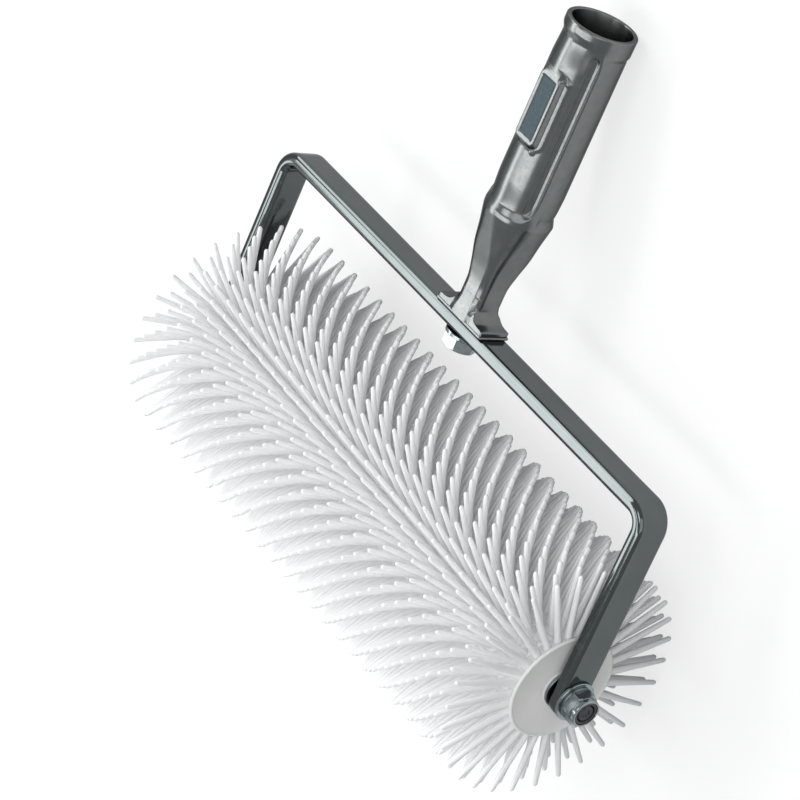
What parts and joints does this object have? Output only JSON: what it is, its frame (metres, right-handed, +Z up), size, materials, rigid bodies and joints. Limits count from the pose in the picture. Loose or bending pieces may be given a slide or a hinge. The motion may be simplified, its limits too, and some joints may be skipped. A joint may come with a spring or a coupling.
{
  "type": "spiked roller for floor compound",
  "caption": "Spiked roller on a through axle in a flat-bar bow, with a cast pole socket; it lets the air out of wet floor compound.",
  "frame": {"origin": "on the floor under the middle of the tool's box, as it lies on its spike tips and the rim of the socket's mouth", "axes": "+X along the roller's axle, +Y from the roller towards the socket's mouth, +Z up from the floor"},
  "size_m": [0.2842, 0.274, 0.107],
  "materials": {
    "spike_plastic": "white moulded plastic, satin",
    "cap_plastic": "warm white moulded plastic, satin",
    "core_plastic": "extruded plastic tube",
    "bush_plastic": "plain turned plastic bush",
    "bow_steel": "bright plated flat bar",
    "cast_aluminium": "cast and tumbled, satin bright",
    "zinc_steel": "bright zinc plate, slightly blue",
    "axle_steel": "bare steel rod",
    "insert_nylon": "black nylon"
  },
  "bodies": {
    "frame": {"yoke_bow": "bow_steel", "socket_handle": "cast_aluminium", "handle_bolt": "zinc_steel", "handle_washer": "zinc_steel", "axle_rod": "axle_steel", "inner_washers": "zinc_steel", "outer_washers": "zinc_steel", "spring_washers": "zinc_steel", "lock_nuts": "zinc_steel", "lock_nut_inserts": "insert_nylon"},
    "roller": {"core_tube": "core_plastic", "end_cap_near": "cap_plastic", "end_cap_far": "cap_plastic", "axle_bush_near": "bush_plastic", "axle_bush_far": "bush_plastic", "spike_ring_01": "spike_plastic", "spike_ring_02": "spike_plastic", "spike_ring_03": "spike_plastic", "spike_ring_04": "spike_plastic", "spike_ring_05": "spike_plastic", "spike_ring_06": "spike_plastic", "spike_ring_07": "spike_plastic", "spike_ring_08": "spike_plastic", "spike_ring_09": "spike_plastic", "spike_ring_10": "spike_plastic", "spike_ring_11": "spike_plastic", "spike_ring_12": "spike_plastic", "spike_ring_13": "spike_plastic", "spike_ring_14": "spike_plastic", "spike_ring_15": "spike_plastic", "spike_ring_16": "spike_plastic", "spike_ring_17": "spike_plastic", "spike_ring_18": "spike_plastic", "spike_ring_19": "spike_plastic", "spike_ring_20": "spike_plastic", "spike_ring_21": "spike_plastic", "spike_ring_22": "spike_plastic", "spike_ring_23": "spike_plastic", "spike_ring_24": "spike_plastic", "spike_ring_25": "spike_plastic"}
  },
  "joints": [
    {"name": "roller_spin", "type": "hinge", "parent": "frame", "child": "roller", "pos_m": [0, -0.08355, 0.0535], "axis": [1, 0, 0], "continuous": true}
  ]
}
